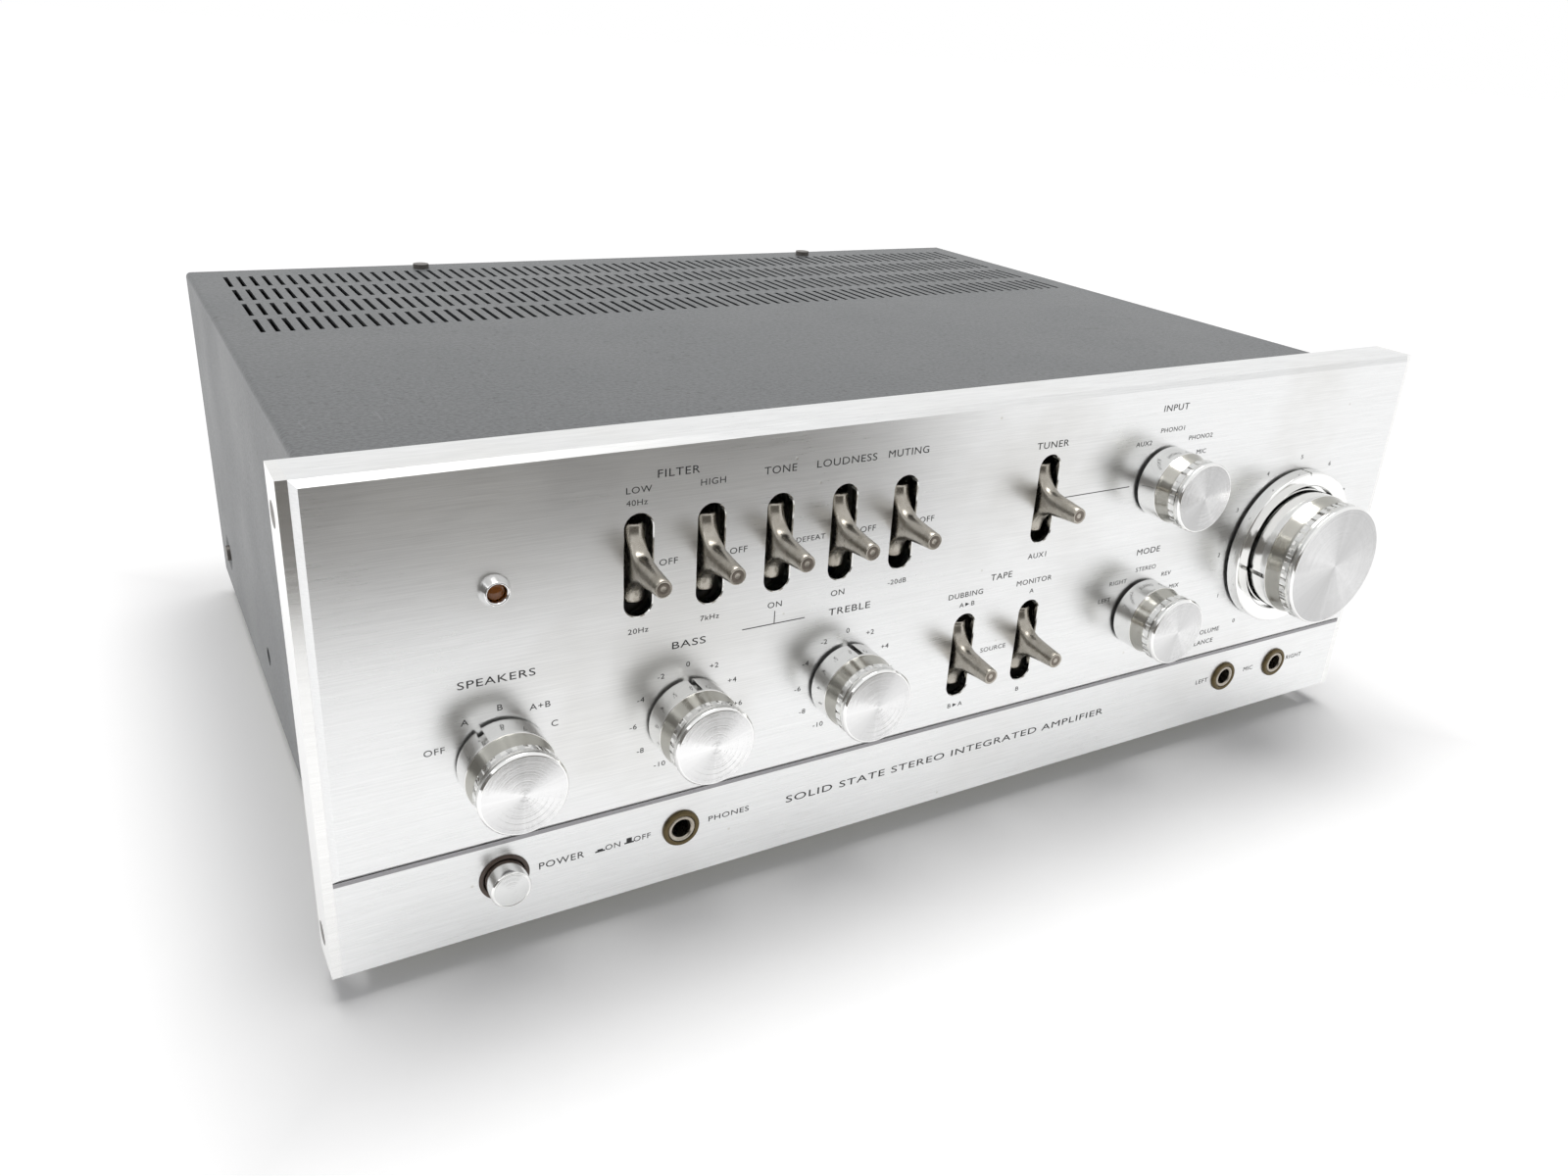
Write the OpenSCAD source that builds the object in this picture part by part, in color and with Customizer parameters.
// Integrated stereo amplifier: a folded steel case behind a thick aluminium front.
// X runs to the right as seen from the front, the front faces -Y and +Z is up.
// The origin is the bottom centre of the whole amplifier, on the surface it stands on.

/* [Case] */
// Width over the two end caps
case_w = 430; // [380:1:520]
// Height of the front panel
panel_h = 150.3; // [126:0.1:182]
// Depth from the face of the front panel to the rear edge of the cover
case_d = 310; // [258:1:374]
// Height of the front panel's lower edge above the surface
stand_h = 10; // [7:0.5:16]
// Sheet thickness of the cover
cover_t = 1.2; // [0.8:0.1:1.6]
// Distance from an end cap's outer face to the side of the cover
cover_inset = 9.5; // [7:0.5:14]
// Drop from the top of the front panel to the top of the cover
cover_drop = 7.3; // [6:0.1:10]
// Outer bend radius of the cover
cover_bend = 2; // [1.8:0.1:4]
// Sheet thickness of the chassis, the sub-panel and the rear panel
chassis_t = 1.5; // [1:0.1:2]
// Height of the folded edges of the chassis tray
tray_edge = 24; // [20:1:32]
// Distance from the rear panel to the rear edge of the cover
rear_recess = 3; // [1:0.5:6]

/* [Vents] */
// Length of a vent slot
vent_len = 22; // [16:0.5:24]
// Width of a vent slot
vent_w = 1.8; // [1.4:0.1:2.6]
// Distance between vent slots in a row
vent_pitch = 5.17; // [4:0.01:8]
// Distance between rows of vent slots
vent_row_pitch = 28.9; // [25:0.1:32]
// Number of rows of vent slots
vent_rows = 4; // [2:1:5]
// Margin from the cover's rear edge to the last row
vent_margin_rear = 14.5; // [12:0.5:20]
// Margin from the side of the cover to the first slot
vent_margin_side = 13; // [8:0.5:30]

/* [Front panel] */
// Thickness of both aluminium front plates
panel_t = 3; // [2.5:0.1:4]
// Width of the polished bevel round the upper plate
panel_bevel = 1.8; // [1:0.1:2.4]
// Height of the lower plate
strip_h = 32.4; // [28:0.1:38]
// Open groove between the two plates
plate_groove = 0.4; // [0.2:0.1:1]
// How far the lower plate and the end caps lie behind the upper plate's face
face_step = 2; // [1:0.1:3]
// Thickness of an end cap
cap_t = 2.9; // [2:0.1:4]
// Depth of the front frame, from the panel's face to the back of its top flange
frame_d = 18; // [16:0.5:22]
// Gap from the back of the front plates to the sub-panel
sub_gap = 5; // [4:0.1:6]

/* [Layout] */
// Distance from the left edge to the lamp, speaker selector and power button
left_margin = 50.7; // [48:0.1:60]
// Distance from the right edge to the volume control
right_margin = 56.5; // [52:0.1:66]
// Place of the bass control, from the left column (0) to the volume control (1)
bass_share = 0.179; // [0.16:0.001:0.2]
// Place of the treble control, from 0 to 1 in the same way
treble_share = 0.355; // [0.34:0.001:0.37]
// Place of the first filter lever
lever_share = 0.1286; // [0.12:0.0001:0.14]
// Step from one filter lever to the next
lever_step = 0.0703; // [0.066:0.0001:0.074]
// Place of the dubbing lever
dubbing_share = 0.504; // [0.49:0.001:0.52]
// Place of the monitor lever and the tuner lever above it
monitor_share = 0.5925; // [0.58:0.0001:0.61]
// Place of the input and mode controls
input_share = 0.7637; // [0.75:0.0001:0.78]
// Height of the upper row, from the lower plate's top (0) to the panel's top (1)
upper_row = 0.691; // [0.68:0.001:0.7]
// Height of the row of rotary controls, from 0 to 1 in the same way
lower_row = 0.246; // [0.24:0.001:0.26]
// Height of the row of tape levers
tape_row = 0.2325; // [0.22:0.0005:0.25]
// Height of the volume control
volume_row = 0.381; // [0.375:0.001:0.4]
// Height of the row of sockets above the panel's lower edge
socket_row = 19; // [16:0.1:20]
// Distance between the two microphone sockets
mic_spacing = 31.1; // [24:0.1:34]

/* [Controls] */
// Reach of a small knob in front of the panel
knob_reach = 20.5; // [18:0.1:24]
// Radius of a small knob's skirt
knob_r = 13.1; // [11:0.1:14]
// Reach of the volume knob in front of the panel
volume_reach = 25.4; // [23:0.1:28]
// Radius of the volume knob's skirt
volume_r = 24.6; // [20:0.1:26]
// Radius of the balance ring
ring_r = 31.8; // [29:0.1:33]
// Thickness of the balance ring, front to back
ring_h = 4.8; // [3.5:0.1:6]
// Gap between the panel and a knob or the balance ring
knob_gap = 1; // [0.6:0.1:2]
// Radius of a control shaft
shaft_r = 3; // [2.5:0.1:3.2]
// Running clearance of a shaft in its bushing, on the radius
shaft_play = 0.06; // [0.03:0.01:0.1]
// Height of a lever slot
slot_h = 32.2; // [28:0.1:34]
// Width of a lever slot
slot_w = 9.2; // [8:0.1:10]
// Width of a lever
lever_w = 6.3; // [5:0.1:6.8]
// Reach of a lever in front of the panel
lever_reach = 17; // [14:0.1:20]
// Distance of a lever's pivot behind the panel's face
pivot_depth = 22; // [21:0.1:24]
// Radius of the power button
button_r = 6.15; // [5:0.05:6.5]
// Reach of the power button in front of the upper plate's face
button_reach = 5.2; // [4.5:0.1:7]
// Travel of the power button
button_travel = 4; // [2:0.1:4.2]
// Radius of a socket's bore for a quarter-inch plug
socket_r = 3.25; // [3.2:0.01:3.4]

/* [Inside] */
// Width of the mains transformer
transformer_w = 100; // [80:1:110]
// Height of the mains transformer
transformer_h = 84; // [60:1:92]
// Radius of a filter capacitor
capacitor_r = 22.5; // [18:0.5:24]
// Height of a filter capacitor
capacitor_h = 80; // [60:1:95]
// Width of the heat sink
heat_sink_w = 300; // [240:1:340]
// Height of the heat sink
heat_sink_h = 104; // [70:1:108]
// Length of the heat sink's fins
fin_len = 48; // [30:1:50]
// Thickness of a circuit board
board_t = 1.6; // [1:0.1:2]

/* [Hidden] */
$fn = 48;
eps = 0.3;
knurl_gap = 0.05;
phono_strip_t = 1.5;
phono_len = 9;
tail_reach = phono_strip_t + phono_len - rear_recess;
face_y = (volume_reach - case_d - tail_reach) / 2;
panel_w = case_w - 2 * cap_t;
cover_w = case_w - 2 * cover_inset;
cover_top = panel_h - cover_drop;
cover_base = 1;
floor_top = cover_base + chassis_t;
tray_w = cover_w - 2 * cover_t;
sub_y = panel_t + sub_gap;
sub_back = sub_y + chassis_t;
rear_y = case_d - rear_recess;
rear_in = rear_y - chassis_t;
plate_low = strip_h + plate_groove;
plate_h = panel_h - plate_low;

left_x = left_margin - case_w / 2;
volume_x = case_w / 2 - right_margin;
span = volume_x - left_x;
function across(share) = left_x + share * span;
function height(share) = plate_low + share * plate_h;
bass_x = across(bass_share);
treble_x = across(treble_share);
dubbing_x = across(dubbing_share);
monitor_x = across(monitor_share);
input_x = across(input_share);
upper_z = height(upper_row);
lower_z = height(lower_row);
tape_z = height(tape_row);
volume_z = height(volume_row);
function lever_x(n) = across(lever_share + n * lever_step);

// Each lever is [x, z] of its pivot
FILTER_LEVERS = [for (n = [0:4]) [lever_x(n), upper_z]];
SOURCE_LEVERS = [[monitor_x, upper_z], [dubbing_x, tape_z], [monitor_x, tape_z]];
LEVERS = concat(FILTER_LEVERS, SOURCE_LEVERS);
SWITCHES = [[left_x, lower_z], [input_x, upper_z], [input_x, lower_z]];
TONES = [[bass_x, lower_z], [treble_x, lower_z]];
SOCKETS = [bass_x, volume_x - mic_spacing / 2, volume_x + mic_spacing / 2];

// Feet
foot_r = 11;
foot_x = case_w / 2 - 50;
foot_front = 45;
foot_back = case_d - 35;
FEET = [for (x = [-foot_x, foot_x], y = [foot_front, foot_back]) [x, y]];

// Bushings and control bodies behind the sub-panel
bushing_r = 4.5;
bushing_reach = 4;
switch_d = 28;
tone_d = 14;
volume_d = 26;
tube_r = 4.2;
volume_bushing_r = 5.4;
shaft_seat = 4;
lamp_z = upper_z;
lamp_r = 4.35;
lamp_reach = 4.2;
jewel_r = 2.65;
ring_back = knob_gap + ring_h;
ring_web = 1.8;
volume_back = knob_gap + ring_web + 1;
socket_bush_r = 4.6;
socket_rim_r = 6.3;
socket_d = 30;
button_bush_r = 7.7;
button_seat = 11;
stem_r = 2.5;
stem_end = 25;

// Places inside the case, from the front or from the rear
inner_front = 50;
transformer_d = 86;
transformer_x = volume_x - 39;
capacitor_step = 2 * capacitor_r + 6;
capacitor_x = transformer_x - transformer_w / 2 - 6 - capacitor_r;
capacitor_y = inner_front + 24;
heat_sink_y = case_d - 105;
sink_wall = 4;
amp_board_y = heat_sink_y - 22;
tone_board_z = lower_z - 17;
preamp_y = rear_in - 15;

// Rear terminals
phono_cols = 9;
phono_pitch = 14;
phono_gap = 18;
phono_x = 60;
phono_z = cover_top - 42;
phono_r = 4.15;
pin_hole_r = 1.7;
phono_w = phono_cols * phono_pitch + 12;
speaker_x = -70;
speaker_z = 60;
speaker_w = 96;
speaker_h = 44;
outlet_x = -155;
outlet_z = 56;

// Screws
screw_r = 1.9;
screw_hole = 2.1;
head_r = 3.6;
head_h = 2;
lip_t = 3;
cap_screw_y = (sub_back + frame_d - lip_t) / 2;
CAP_SCREW_Z = [9, panel_h - 12];
cover_screw_y = case_d - 29.6;
cover_screw_z = 20.3;
dish_r = 9;
dish_depth = 0.8;
access_y = cover_screw_y - 117.1;
access_z = cover_screw_z + 2.9;
access_r = 3.7;
top_screw_x = 105;
top_screw_y = rear_in - 4;
fold = 10;
fold_screw_x = 100;

foot_seat = 5;
post_r = 3;
post_inset = 10;
tube_run = 10;
lever_fillet = 9.5;
hub_r = 6;
pin_r = 2;
cheek_gap = 0.4;
cheek_h = 8;
flange_x = 10;
switch_front = 18;
speakers_turn = -30;
input_turn = 60;
mode_turn = 60;
volume_turn = -103;
fuse_x = outlet_x + 50;
fuse_drop = 4.5;
fuse_z = (speaker_z + speaker_h / 2 + cover_top) / 2 - fuse_drop;
fuse_r = 7;
ground_x = (speaker_x + speaker_w / 2 + phono_x - phono_w / 2) / 2;
ground_r = 5;
gland_x = outlet_x - 32;
gland_z = 22;
gland_r = 7.5;
TONE_BOARD_X = [bass_x - 28, treble_x - 7];
TONE_BOARD_Y = [sub_back + fold + post_r + 1, inner_front - 7];
AMP_BOARD_X = [-175, 45];
AMP_BOARD_Z = [20, 100];
PREAMP_X = [phono_x - 70, phono_x + 70];
preamp_half = 24;
board_rim = 5;
small_cap_r = 4;
small_cap_h = 10;
transistor_z = 62;
function phono_step(k) = (k - (phono_cols - 1) / 2) * phono_pitch;

// Carries a piece from the panel's own frame to the amplifier's frame
module placed() {
    translate([0, face_y, stand_h]) children();
}

// Box between two corners
module block(low, high) {
    translate(low) cube(high - low);
}

// Rod along Y from y0 to y1
module rod_y(r, y0, y1, x = 0, z = 0) {
    translate([x, y0, z]) rotate([-90, 0, 0]) cylinder(r = r, h = y1 - y0);
}

// Rod along X from x0 to x1
module rod_x(r, x0, x1, y = 0, z = 0) {
    translate([x0, y, z]) rotate([0, 90, 0]) cylinder(r = r, h = x1 - x0);
}

// Outline in X and Z carried along Y from y0 to y1
module plate_y(y0, y1) {
    translate([0, y1, 0]) rotate([90, 0, 0]) linear_extrude(y1 - y0) children();
}

// Upright slot with round ends
module slot_outline(w, h) {
    square([w, h - w], center = true);
    for (side = [-1, 1]) translate([0, side * (h - w) / 2]) circle(d = w);
}

// Turned profile of radius and reach, standing out towards the front
module turned(profile) {
    rotate([90, 0, 0]) rotate_extrude() polygon(profile);
}

// Countersunk screw along X with its head flush at x, driven towards -dir
module flat_screw(x, y, z, dir, length) {
    translate([x, y, z]) rotate([0, dir * 90, 0]) {
        translate([0, 0, -length]) cylinder(r = screw_r, h = length);
        translate([0, 0, screw_r - head_r]) cylinder(r1 = screw_r, r2 = head_r, h = head_r - screw_r);
    }
}

// Pan head screw that points down, with the underside of its head at the origin
module pan_screw(length) {
    cylinder(r = head_r, h = head_h);
    translate([0, 0, -length]) cylinder(r = screw_r, h = length);
}

module chassis_tray() {
    color("dimgray") placed() difference() {
        union() {
            block([-tray_w / 2, sub_back, cover_base], [tray_w / 2, rear_in, floor_top]);
            for (side = [0, 1]) mirror([side, 0, 0])
                block([tray_w / 2 - chassis_t, sub_back, cover_base],
                    [tray_w / 2, rear_in, cover_base + tray_edge]);
        }
        for (foot = FEET) translate([foot[0], foot[1], 0]) cylinder(r = screw_hole, h = floor_top + 1);
        for (x = [-fold_screw_x, fold_screw_x], y = [sub_back + fold / 2, rear_in - fold / 2])
            translate([x, y, 0]) cylinder(r = screw_hole, h = floor_top + 1);
        rod_x(screw_hole, -tray_w, tray_w, cover_screw_y, cover_screw_z);
        for (k = [-7:7]) translate([k * 12, heat_sink_y + 30, 0])
            linear_extrude(floor_top + 1) square([4, 40], center = true);
    }
}

// Steel plate behind the front plates that carries every control
module front_subpanel() {
    side_z = cover_base + 2;
    color("silver") placed() difference() {
        union() {
            block([-panel_w / 2, sub_y, cover_base], [panel_w / 2, sub_back, panel_h - panel_t]);
            for (side = [0, 1]) mirror([side, 0, 0])
                block([panel_w / 2 - chassis_t, sub_back, side_z],
                    [panel_w / 2, frame_d - lip_t - eps, panel_h - panel_t]);
            block([5 - tray_w / 2, sub_back, floor_top],
                [tray_w / 2 - 5, sub_back + fold, floor_top + chassis_t]);
        }
        plate_y(sub_y - 1, sub_back + 1) {
            for (lever = LEVERS) translate(lever) slot_outline(slot_w + 2, slot_h + 4);
            for (control = concat(SWITCHES, TONES)) translate(control) circle(bushing_r + 0.1);
            translate([volume_x, volume_z]) circle(volume_bushing_r + 0.1);
            translate([left_x, lamp_z]) circle(lamp_r - 0.6);
            translate([left_x, socket_row]) circle(button_r + 0.9);
            for (x = SOCKETS) translate([x, socket_row]) circle(socket_bush_r + 0.2);
        }
        for (z = CAP_SCREW_Z) rod_x(screw_hole, -panel_w, panel_w, cap_screw_y, z);
        for (x = [-fold_screw_x, fold_screw_x]) translate([x, sub_back + fold / 2, 0])
            cylinder(r = screw_hole, h = floor_top + chassis_t + 1);
    }
}

// Rear plate with its windows for the terminals and two folds for screws
module rear_panel() {
    rear_w = tray_w - 2 * eps;
    rear_top = cover_top - cover_t - eps;
    color("dimgray") placed() difference() {
        union() {
            block([-rear_w / 2, rear_in, cover_base], [rear_w / 2, rear_y, rear_top]);
            for (z = [floor_top, rear_top - chassis_t])
                block([8 - rear_w / 2, rear_in - fold, z], [rear_w / 2 - 8, rear_in, z + chassis_t]);
        }
        plate_y(rear_in - 1, rear_y + 1) {
            for (side = [-1, 1]) translate([phono_x, phono_z + side * phono_gap / 2])
                square([phono_cols * phono_pitch + 2, 12], center = true);
            translate([speaker_x, speaker_z]) square([91, 39], center = true);
            translate([outlet_x, outlet_z]) square([31, 79], center = true);
            translate([fuse_x, fuse_z]) circle(fuse_r - 0.7);
            translate([ground_x, phono_z]) circle(screw_hole);
            translate([gland_x, gland_z]) circle(gland_r - 0.9);
        }
        for (x = [-top_screw_x, top_screw_x]) translate([x, top_screw_y, rear_top - 5])
            cylinder(r = screw_hole, h = 10);
        for (x = [-fold_screw_x, fold_screw_x]) translate([x, rear_in - fold / 2, 0])
            cylinder(r = screw_hole, h = floor_top + chassis_t + 1);
    }
}

// Outline of a folded sheet: two sides and a top with bent corners
module arch_outline(w, low, high, r) {
    translate([-w / 2, low]) square([w, high - low - r]);
    translate([-w / 2 + r, low]) square([w - 2 * r, high - low]);
    for (side = [-1, 1]) translate([side * (w / 2 - r), high - r]) circle(r);
}

module vent_slots() {
    count = floor((cover_w - 2 * vent_margin_side - vent_w) / vent_pitch) + 1;
    for (row = [0:vent_rows - 1], k = [0:count - 1])
        translate([(k - (count - 1) / 2) * vent_pitch - vent_w / 2,
            case_d - vent_margin_rear - vent_len - row * vent_row_pitch])
            square([vent_w, vent_len]);
}

module top_cover() {
    color("gray") placed() difference() {
        plate_y(sub_back + eps, case_d) difference() {
            arch_outline(cover_w, cover_base, cover_top, cover_bend);
            arch_outline(tray_w, cover_base - 1, cover_top - cover_t, cover_bend - cover_t);
        }
        translate([0, 0, cover_top - cover_t - 1]) linear_extrude(cover_t + 2) vent_slots();
        rod_x(screw_hole, -cover_w, cover_w, cover_screw_y, cover_screw_z);
        rod_x(access_r, -cover_w, cover_w, access_y, access_z);
        for (side = [-1, 1]) translate([side * (cover_w / 2 + 0.1), cover_screw_y, cover_screw_z])
            rotate([0, -side * 90, 0]) cylinder(r1 = dish_r, r2 = dish_r - 2.5, h = dish_depth + 0.1);
        for (x = [-top_screw_x, top_screw_x]) translate([x, top_screw_y, cover_top - 5])
            cylinder(r = screw_hole, h = 10);
    }
}

module front_panel_upper() {
    edge = panel_bevel * sqrt(2);
    color("gainsboro") placed() difference() {
        union() {
            block([-panel_w / 2, 0, plate_low], [panel_w / 2, panel_t, panel_h]);
            block([-panel_w / 2, panel_t, panel_h - panel_t], [panel_w / 2, frame_d, panel_h]);
            block([-panel_w / 2, frame_d - lip_t, cover_top + eps],
                [panel_w / 2, frame_d, panel_h - panel_t]);
            for (side = [-1, 1], z = [plate_low + post_inset, panel_h - post_inset - panel_t])
                rod_y(post_r, panel_t, sub_y, side * (panel_w / 2 - post_inset), z);
        }
        for (z = [plate_low, panel_h]) translate([0, 0, z]) rotate([45, 0, 0])
            cube([panel_w + 2, edge, edge], center = true);
        for (side = [-1, 1]) translate([side * panel_w / 2, 0, panel_h / 2]) rotate([0, 0, 45])
            cube([edge, edge, panel_h + 2], center = true);
        plate_y(-1, panel_t + 1) {
            for (lever = LEVERS) translate(lever) slot_outline(slot_w, slot_h);
            for (control = concat(SWITCHES, TONES)) translate(control) circle(bushing_r + 0.6);
            translate([volume_x, volume_z]) circle(volume_bushing_r + 0.6);
            translate([left_x, lamp_z]) circle(lamp_r - 0.9);
        }
    }
}

module front_panel_lower() {
    back = face_step + panel_t;
    color("gainsboro") placed() difference() {
        union() {
            block([-panel_w / 2, face_step, 0], [panel_w / 2, back, strip_h]);
            for (side = [-1, 1]) rod_y(post_r, back, sub_y, side * (panel_w / 2 - post_inset), strip_h / 2);
        }
        plate_y(face_step - 1, back + 1) {
            translate([left_x, socket_row]) circle(button_bush_r - 0.4);
            for (x = SOCKETS) translate([x, socket_row]) circle(socket_bush_r + 0.2);
        }
    }
}

// End cap on the +X side
module end_cap() {
    difference() {
        block([panel_w / 2, face_step, 0], [case_w / 2, frame_d, panel_h]);
        for (z = CAP_SCREW_Z) {
            rod_x(screw_hole, 0, case_w, cap_screw_y, z);
            translate([case_w / 2 + screw_r - head_r, cap_screw_y, z]) rotate([0, 90, 0])
                cylinder(r1 = screw_hole, r2 = head_r + 0.4, h = head_r - screw_r + 0.2);
        }
    }
}

module end_cap_left() {
    color("lightgray") placed() mirror([1, 0, 0]) end_cap();
}

module end_cap_right() {
    color("lightgray") placed() end_cap();
}

module cap_screws() {
    color("gray") placed() for (side = [-1, 1], z = CAP_SCREW_Z)
        flat_screw(side * case_w / 2, cap_screw_y, z, side, cap_t + chassis_t + 2);
}

module cover_screws() {
    color("dimgray") placed() {
        for (side = [-1, 1])
            translate([side * (cover_w / 2 - dish_depth), cover_screw_y, cover_screw_z])
                rotate([0, side * 90, 0]) pan_screw(cover_t + chassis_t + 3);
        for (x = [-top_screw_x, top_screw_x]) translate([x, top_screw_y, cover_top])
            pan_screw(cover_t + chassis_t + 3);
    }
}

// Screws of the feet and of the folds of the sub-panel and the rear panel
module chassis_screws() {
    color("silver") placed() {
        for (foot = FEET) translate([foot[0], foot[1], foot_seat - stand_h]) mirror([0, 0, 1])
            pan_screw(floor_top + stand_h - foot_seat + 3);
        for (x = [-fold_screw_x, fold_screw_x], y = [sub_back + fold / 2, rear_in - fold / 2])
            translate([x, y, cover_base]) mirror([0, 0, 1]) pan_screw(2 * chassis_t + 3);
    }
}

module board_standoffs() {
    color("silver") placed() {
        for (x = TONE_BOARD_X, y = TONE_BOARD_Y) translate([x, y, floor_top])
            cylinder(r = post_r, h = tone_board_z - floor_top);
        for (x = AMP_BOARD_X, z = AMP_BOARD_Z) rod_y(post_r, amp_board_y + board_t, heat_sink_y, x, z);
        for (x = PREAMP_X) rod_y(post_r, preamp_y + board_t, rear_in, x, phono_z);
    }
}

module feet() {
    color("#202020") placed() for (foot = FEET) translate([foot[0], foot[1], -stand_h])
        rotate_extrude() polygon([[screw_hole, foot_seat], [head_r + 1, foot_seat], [head_r + 1, 0],
            [foot_r - 1, 0], [foot_r, 1], [foot_r + 1, stand_h + cover_base],
            [screw_hole, stand_h + cover_base]]);
}

// Turned knob: a plain skirt, a waist, a rim and a flat face, with a notch that points at turn
module knob(at, reach, back, r, turn) {
    run = reach - back;
    step = back + 0.42 * run;
    rim = back + 0.8 * run;
    seat = reach - shaft_seat;
    bore = shaft_r + knurl_gap;
    translate([at[0], 0, at[1]]) difference() {
        turned([[bore, back], [r - 0.3, back], [r, back + 0.3], [r, step], [r - 0.8, step + 0.5],
            [r - 1.6, rim - 1], [r - 0.4, rim], [r - 0.4, rim + 0.1 * run], [r - 0.9, rim + 0.11 * run],
            [r - 0.9, rim + 0.13 * run], [r - 0.5, rim + 0.14 * run], [r - 0.9, reach], [0, reach],
            [0, seat], [bore, seat]]);
        rotate([0, turn, 0]) block([-0.6, -step + 1.5, r - 1], [0.6, 1, r + 1]);
    }
}

module speakers_knob() {
    color("silver") placed() knob(SWITCHES[0], knob_reach, knob_gap, knob_r, speakers_turn);
}

module bass_knob() {
    color("silver") placed() knob(TONES[0], knob_reach, knob_gap, knob_r, 0);
}

module treble_knob() {
    color("silver") placed() knob(TONES[1], knob_reach, knob_gap, knob_r, 0);
}

module input_knob() {
    color("silver") placed() knob(SWITCHES[1], knob_reach, knob_gap, knob_r, input_turn);
}

module mode_knob() {
    color("silver") placed() knob(SWITCHES[2], knob_reach, knob_gap, knob_r, mode_turn);
}

module volume_knob() {
    color("silver") placed()
        knob([volume_x, volume_z], volume_reach, volume_back, volume_r, volume_turn);
}

// Ring round the volume knob, carried by a thin web on its own tube
module balance_ring() {
    inner = volume_r + 1.6;
    bore = tube_r + knurl_gap;
    color("silver") placed() translate([volume_x, 0, volume_z]) difference() {
        turned([[bore, knob_gap], [ring_r, knob_gap], [ring_r, ring_back - 0.5], [ring_r - 0.5, ring_back],
            [inner, ring_back], [inner, knob_gap + ring_web], [bore, knob_gap + ring_web]]);
        block([-0.5, -ring_back - 1, inner + 0.5], [0.5, 1, ring_r + 1]);
    }
}

module shaft(at, depth) {
    rod_y(shaft_r, shaft_seat - knob_reach, sub_back + depth - shaft_seat, at[0], at[1]);
}

module speakers_shaft() {
    color("darkgoldenrod") placed() shaft(SWITCHES[0], switch_d);
}

module input_shaft() {
    color("darkgoldenrod") placed() shaft(SWITCHES[1], switch_d);
}

module mode_shaft() {
    color("darkgoldenrod") placed() shaft(SWITCHES[2], switch_d);
}

module bass_shaft() {
    color("darkgoldenrod") placed() shaft(TONES[0], tone_d);
}

module treble_shaft() {
    color("darkgoldenrod") placed() shaft(TONES[1], tone_d);
}

module volume_shaft() {
    color("darkgoldenrod") placed()
        rod_y(shaft_r, shaft_seat - volume_reach, sub_back + volume_d - shaft_seat, volume_x, volume_z);
}

// Tube round the volume shaft that turns the balance
module balance_shaft() {
    color("darkgoldenrod") placed() difference() {
        rod_y(tube_r, -knob_gap - ring_web, sub_back + tube_run, volume_x, volume_z);
        rod_y(shaft_r + shaft_play, -knob_gap - ring_web - 1, sub_back + tube_run + 1, volume_x, volume_z);
    }
}

// Threaded bushing with its nut in front of the sub-panel and a body behind it
module control_body(at, bush_r) {
    translate([at[0], 0, at[1]]) {
        rod_y(bush_r, sub_y - bushing_reach, sub_back);
        translate([0, sub_y, 0]) rotate([90, 0, 0]) cylinder(r = bush_r * 1.7, h = 2.4, $fn = 6);
        children();
    }
}

module rotary_switches() {
    color("tan") placed() for (at = SWITCHES) difference() {
        control_body(at, bushing_r) {
            block([-15, sub_back, -15], [15, sub_back + 8, 15]);
            rod_y(13, sub_back + 8, sub_back + switch_d);
        }
        rod_y(shaft_r + shaft_play, 0, sub_back + switch_d - 2, at[0], at[1]);
    }
}

module tone_controls() {
    color("silver") placed() for (at = TONES) difference() {
        control_body(at, bushing_r) rod_y(12, sub_back, sub_back + tone_d);
        rod_y(shaft_r + shaft_play, 0, sub_back + tone_d - 2, at[0], at[1]);
    }
}

module volume_control() {
    color("silver") placed() difference() {
        control_body([volume_x, volume_z], volume_bushing_r) rod_y(15, sub_back, sub_back + volume_d);
        rod_y(tube_r + shaft_play, 0, sub_back + tube_run + 1, volume_x, volume_z);
        rod_y(shaft_r + shaft_play, 0, sub_back + volume_d - 2, volume_x, volume_z);
    }
}

// Lever in its own frame: the pivot is the origin and the handle points to -Y
module lever_shape() {
    half = lever_w / 2;
    root = -pivot_depth - 2;
    tip = -pivot_depth - lever_reach;
    shoulder = root + lever_fillet;
    fillet_z = half + lever_fillet;
    arm_z = fillet_z + 1.2;
    difference() {
        union() {
            rotate([90, 0, 90]) linear_extrude(lever_w, center = true) difference() {
                union() {
                    polygon([[root, -fillet_z], [shoulder, -arm_z], [shoulder + 3, -arm_z], [0, -hub_r],
                        [0, hub_r], [shoulder + 3, arm_z], [shoulder, arm_z], [root, fillet_z]]);
                    circle(hub_r);
                }
                for (side = [-1, 1]) translate([root, side * fillet_z]) circle(lever_fillet);
            }
            translate([0, root, 0]) rotate([90, 0, 0]) cylinder(r1 = half, r2 = half - 0.5, h = root - tip);
        }
        rod_x(pin_r + shaft_play, -lever_w, lever_w);
    }
}

module lever(at) {
    color("#8a8478") placed() translate([at[0], pivot_depth, at[1]]) lever_shape();
}

module low_filter_lever() {
    lever(FILTER_LEVERS[0]);
}

module high_filter_lever() {
    lever(FILTER_LEVERS[1]);
}

module tone_lever() {
    lever(FILTER_LEVERS[2]);
}

module loudness_lever() {
    lever(FILTER_LEVERS[3]);
}

module muting_lever() {
    lever(FILTER_LEVERS[4]);
}

module tuner_lever() {
    lever(SOURCE_LEVERS[0]);
}

module dubbing_lever() {
    lever(SOURCE_LEVERS[1]);
}

module monitor_lever() {
    lever(SOURCE_LEVERS[2]);
}

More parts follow.
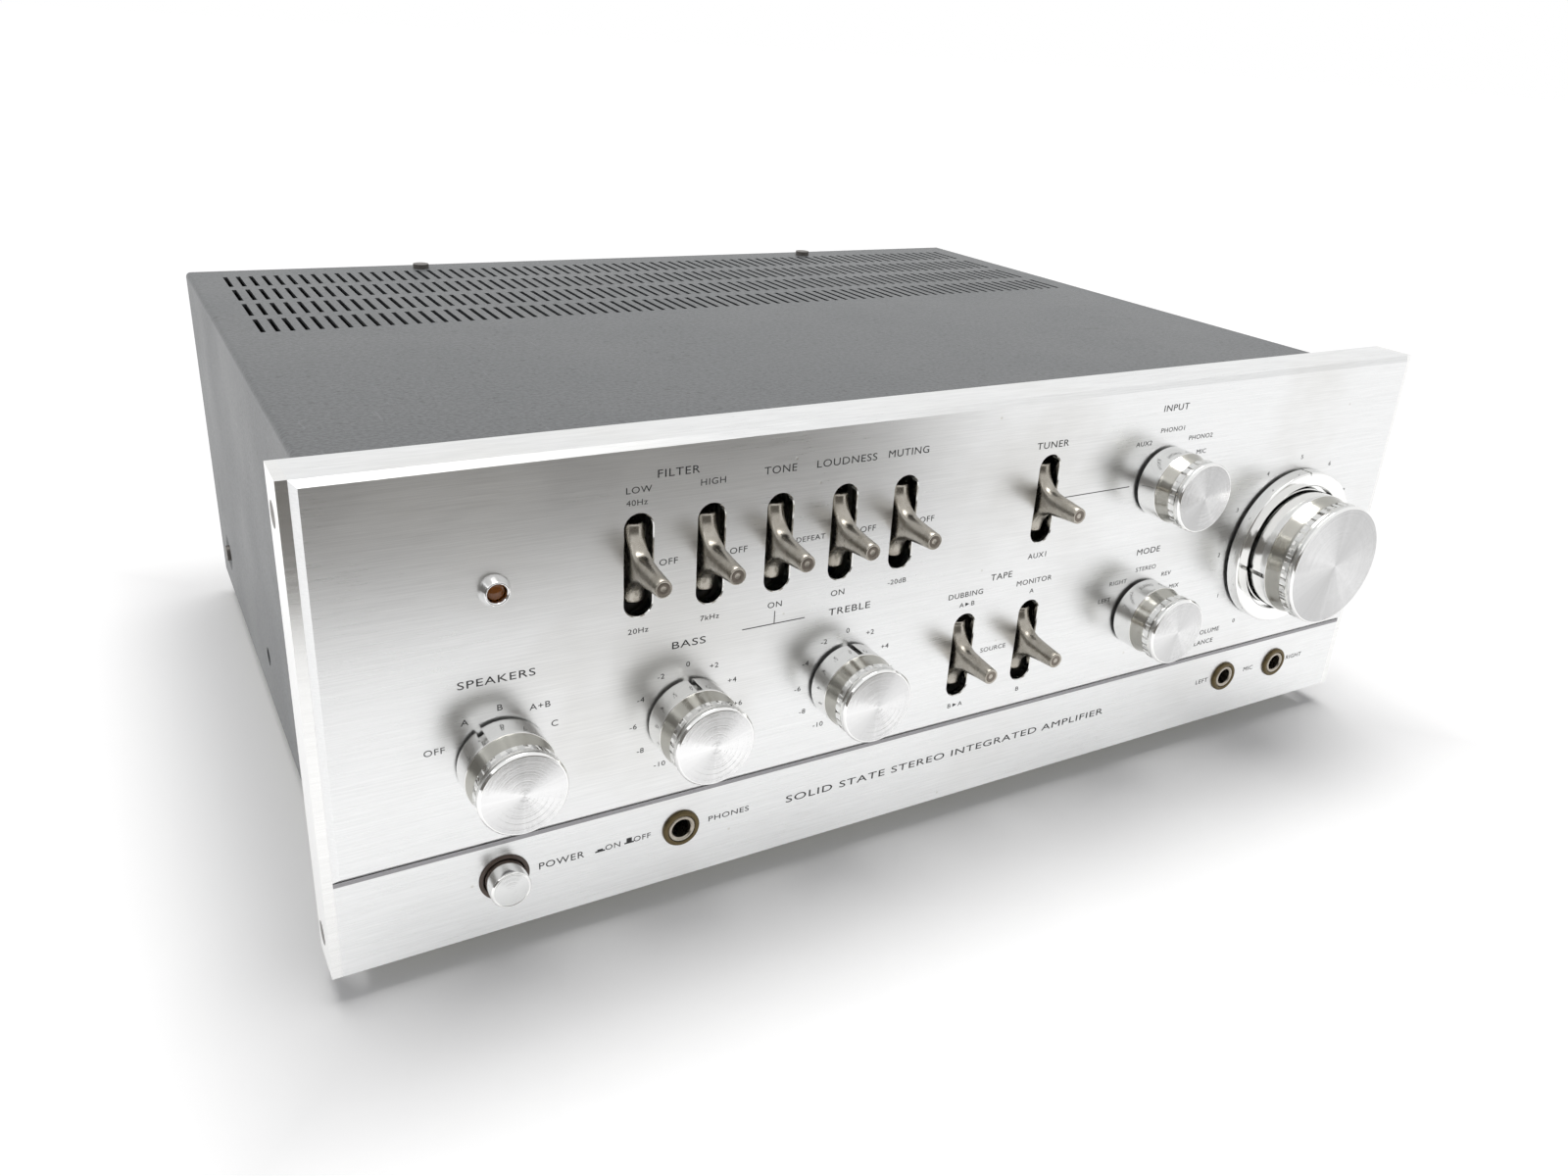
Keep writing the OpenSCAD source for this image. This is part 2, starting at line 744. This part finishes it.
// Bracket with two cheeks, the lever's pivot pin and the switch behind it
module lever_switches() {
    inner = lever_w / 2 + cheek_gap;
    outer = inner + 1.2;
    color("darkgray") placed() for (lever = LEVERS) translate([lever[0], 0, lever[1]]) {
        for (side = [0, 1]) mirror([side, 0, 0]) {
            block([inner, sub_back, -cheek_h], [outer, pivot_depth + cheek_h, cheek_h]);
            block([inner, sub_back, -cheek_h], [flange_x, sub_back + 1.2, cheek_h]);
        }
        rod_x(pin_r, -inner - 0.6, inner + 0.6, pivot_depth);
        block([-8, pivot_depth + cheek_h, -11], [8, pivot_depth + cheek_h + 12, 11]);
    }
}

module power_button() {
    color("gainsboro") placed() {
        rod_y(button_r, -button_reach, button_seat, left_x, socket_row);
        rod_y(stem_r, button_seat, stem_end, left_x, socket_row);
    }
}

module power_bushing() {
    color("#3a2a20") placed() difference() {
        union() {
            rod_y(button_bush_r, face_step - 0.5, face_step, left_x, socket_row);
            rod_y(button_bush_r - 0.45, face_step, face_step + panel_t + 1, left_x, socket_row);
        }
        rod_y(button_r + 0.3, 0, sub_y, left_x, socket_row);
    }
}

module power_switch() {
    color("#303030") placed() translate([left_x, 0, socket_row]) difference() {
        union() {
            block([-12, switch_front, -10], [12, switch_front + 26, 10]);
            for (side = [0, 1]) mirror([side, 0, 0]) block([9, sub_back, -5], [12, switch_front, 5]);
        }
        rod_y(stem_r + shaft_play, sub_back, stem_end + button_travel + 1);
    }
}

// Socket for a quarter-inch plug with its ring nut on the face of the lower plate
module jack(x) {
    translate([x, 0, socket_row]) {
        difference() {
            union() {
                rod_y(socket_bush_r, face_step - 1.2, sub_back);
                block([-8, sub_back, -8], [8, sub_back + socket_d, 8]);
            }
            rod_y(socket_r, 0, sub_back + socket_d - 5);
        }
        difference() {
            rod_y(socket_rim_r, face_step - 1.2, face_step);
            rod_y(socket_bush_r + knurl_gap, 0, face_step + 1);
        }
    }
}

module phones_jack() {
    color("#8b7b3a") placed() jack(SOCKETS[0]);
}

module mic_jacks() {
    color("#8b7b3a") placed() for (k = [1, 2]) jack(SOCKETS[k]);
}

module lamp_bezel() {
    color("gainsboro") placed() translate([left_x, 0, lamp_z])
        turned([[jewel_r + knurl_gap, -panel_t - 2], [lamp_r - 1.2, -panel_t - 2], [lamp_r - 1.2, 0],
            [lamp_r, 0], [lamp_r, 0.8], [lamp_r - 0.8, lamp_reach], [jewel_r + knurl_gap, lamp_reach]]);
}

module lamp_jewel() {
    color("orange") placed() translate([left_x, 0, lamp_z])
        turned([[0, -1], [jewel_r, -1], [jewel_r, lamp_reach - 1.2], [jewel_r - 0.5, lamp_reach - 0.5],
            [jewel_r - 1.4, lamp_reach - 0.1], [0, lamp_reach]]);
}

// Small bulb in a holder that is clipped to the sub-panel
module lamp_bulb() {
    color("lightyellow") placed() {
        rod_y(2.2, 1.3, sub_y, left_x, lamp_z);
        rod_y(2.9, sub_y - 2, sub_back + 8, left_x, lamp_z);
        rod_y(5, sub_back, sub_back + 8, left_x, lamp_z);
    }
}

// Laminated core that stands on the tray, with a coil cover at each end
module power_transformer() {
    bell = 15;
    bell_inset = 14;
    bell_rise = 8;
    core_y = inner_front + bell;
    core_end = inner_front + transformer_d - bell;
    color("#4a3a30") placed() translate([transformer_x, 0, floor_top]) {
        block([-transformer_w / 2, core_y, 0], [transformer_w / 2, core_end, transformer_h]);
        for (y = [inner_front, core_end])
            block([bell_inset - transformer_w / 2, y, bell_rise],
                [transformer_w / 2 - bell_inset, y + bell, transformer_h - bell_rise]);
    }
}

module filter_capacitors() {
    color("steelblue") placed() for (k = [0, 1])
        translate([capacitor_x - k * capacitor_step, capacitor_y, floor_top]) {
            cylinder(r = capacitor_r, h = capacitor_h);
            for (side = [-1, 1]) translate([side * 8, 0, 0]) cylinder(r = 2.5, h = capacitor_h + 5);
        }
}

module heat_sink() {
    fin_pitch = 12;
    half_fin = 0.8;
    fins = floor(heat_sink_w / 2 / fin_pitch);
    color("#303030") placed() translate([0, heat_sink_y, floor_top]) {
        block([-heat_sink_w / 2, 0, 0], [heat_sink_w / 2, sink_wall, heat_sink_h]);
        for (k = [-fins:fins]) translate([k * fin_pitch, sink_wall, 0])
            block([-half_fin, 0, 0], [half_fin, fin_len, heat_sink_h]);
    }
}

module output_transistors() {
    flange_t = 1.6;
    flange_r = 13;
    can_r = 10.2;
    can_h = 6.4;
    color("silver") placed() for (x = [-115, -65, 65, 115]) {
        rod_y(flange_r, heat_sink_y - flange_t, heat_sink_y, x, transistor_z);
        rod_y(can_r, heat_sink_y - flange_t - can_h, heat_sink_y - flange_t, x, transistor_z);
    }
}

module power_amp_board() {
    color("#6b5a2a") placed() {
        block([AMP_BOARD_X[0] - board_rim, amp_board_y, AMP_BOARD_Z[0] - board_rim],
            [AMP_BOARD_X[1] + board_rim, amp_board_y + board_t, AMP_BOARD_Z[1] + board_rim]);
        for (x = [-160:40:40], z = [40, 78]) rod_y(5, amp_board_y - 12, amp_board_y, x, z);
    }
}

module preamp_board() {
    color("#6b5a2a") placed() {
        block([PREAMP_X[0] - board_rim, preamp_y, phono_z - preamp_half],
            [PREAMP_X[1] + board_rim, preamp_y + board_t, phono_z + preamp_half]);
        for (k = [-2:2]) rod_y(small_cap_r, preamp_y - small_cap_h, preamp_y,
            phono_x + k * preamp_half, phono_z - preamp_half / 2);
    }
}

module tone_board() {
    color("#6b5a2a") placed() {
        block([TONE_BOARD_X[0] - board_rim, TONE_BOARD_Y[0] - board_rim, tone_board_z],
            [TONE_BOARD_X[1] + board_rim, TONE_BOARD_Y[1] + board_rim, tone_board_z + board_t]);
        for (k = [0:3]) translate([TONE_BOARD_X[0] + 10 + k * 12, TONE_BOARD_Y[1] - 6, tone_board_z])
            cylinder(r = small_cap_r, h = board_t + small_cap_h);
    }
}

// Black block with two rows of screw terminals between ribs
module speaker_terminals() {
    plate_t = 2;
    half_w = speaker_w / 2;
    half_h = speaker_h / 2;
    color("#202020") placed() translate([speaker_x, rear_y, speaker_z]) {
        block([-half_w, 0, -half_h], [half_w, plate_t, half_h]);
        block([3 - half_w, -chassis_t - 8, 3 - half_h], [half_w - 3, 0, half_h - 3]);
        for (x = [-36:24:36], z = [-10, 10]) rod_y(4, plate_t, plate_t + 7, x, z);
        for (x = [-48:24:48]) block([x - 0.8, plate_t, -20], [x + 0.8, plate_t + 6, 20]);
    }
}

// Two rows of pin sockets on a strip, with an insulator that reaches the preamplifier board
module phono_sockets() {
    barrel_end = phono_strip_t + phono_len;
    color("gainsboro") placed() translate([phono_x, rear_y, phono_z]) difference() {
        union() {
            block([-phono_w / 2, 0, -phono_gap], [phono_w / 2, phono_strip_t, phono_gap]);
            for (side = [-1, 1]) {
                block([6 - phono_w / 2, preamp_y + board_t - rear_y, side * phono_gap / 2 - 5],
                    [phono_w / 2 - 6, 0, side * phono_gap / 2 + 5]);
                for (k = [0:phono_cols - 1])
                    rod_y(phono_r, phono_strip_t, barrel_end, phono_step(k), side * phono_gap / 2);
            }
        }
        for (side = [-1, 1], k = [0:phono_cols - 1])
            rod_y(pin_hole_r, phono_strip_t + 1, barrel_end + 1, phono_step(k), side * phono_gap / 2);
    }
}

module ac_outlets() {
    color("#202020") placed() translate([outlet_x, rear_y, outlet_z]) difference() {
        union() {
            block([-20, 0, -44], [20, 3, 44]);
            block([-15, -chassis_t - 14, -39], [15, 0, 39]);
        }
        for (z = [-26, 0, 26], side = [-1, 1])
            block([side * 6.3 - 1, -8, z - 4], [side * 6.3 + 1, 4, z + 4]);
    }
}

module fuse_holder() {
    color("#202020") placed() {
        rod_y(fuse_r, rear_y, rear_y + 9, fuse_x, fuse_z);
        rod_y(fuse_r - 1, rear_in - 18, rear_y, fuse_x, fuse_z);
    }
}

module ground_terminal() {
    color("silver") placed() {
        rod_y(screw_r, rear_in - 5, rear_y + 10, ground_x, phono_z);
        rod_y(ground_r, rear_y, rear_y + 7, ground_x, phono_z);
    }
}

module cord_gland() {
    color("#202020") placed() difference() {
        union() {
            rod_y(gland_r + 1, rear_y, rear_y + 4, gland_x, gland_z);
            rod_y(gland_r - 1, rear_in - 4, rear_y, gland_x, gland_z);
        }
        rod_y(4, rear_in - 5, rear_y + 5, gland_x, gland_z);
    }
}

chassis_tray();
front_subpanel();
rear_panel();
top_cover();
front_panel_upper();
front_panel_lower();
end_cap_left();
end_cap_right();
cap_screws();
cover_screws();
chassis_screws();
board_standoffs();
feet();
speakers_knob();
bass_knob();
treble_knob();
input_knob();
mode_knob();
volume_knob();
balance_ring();
speakers_shaft();
bass_shaft();
treble_shaft();
input_shaft();
mode_shaft();
volume_shaft();
balance_shaft();
low_filter_lever();
high_filter_lever();
tone_lever();
loudness_lever();
muting_lever();
tuner_lever();
dubbing_lever();
monitor_lever();
lever_switches();
rotary_switches();
tone_controls();
volume_control();
power_button();
power_bushing();
power_switch();
phones_jack();
mic_jacks();
lamp_bezel();
lamp_jewel();
lamp_bulb();
power_transformer();
filter_capacitors();
heat_sink();
output_transistors();
power_amp_board();
preamp_board();
tone_board();
speaker_terminals();
phono_sockets();
ac_outlets();
fuse_holder();
ground_terminal();
cord_gland();
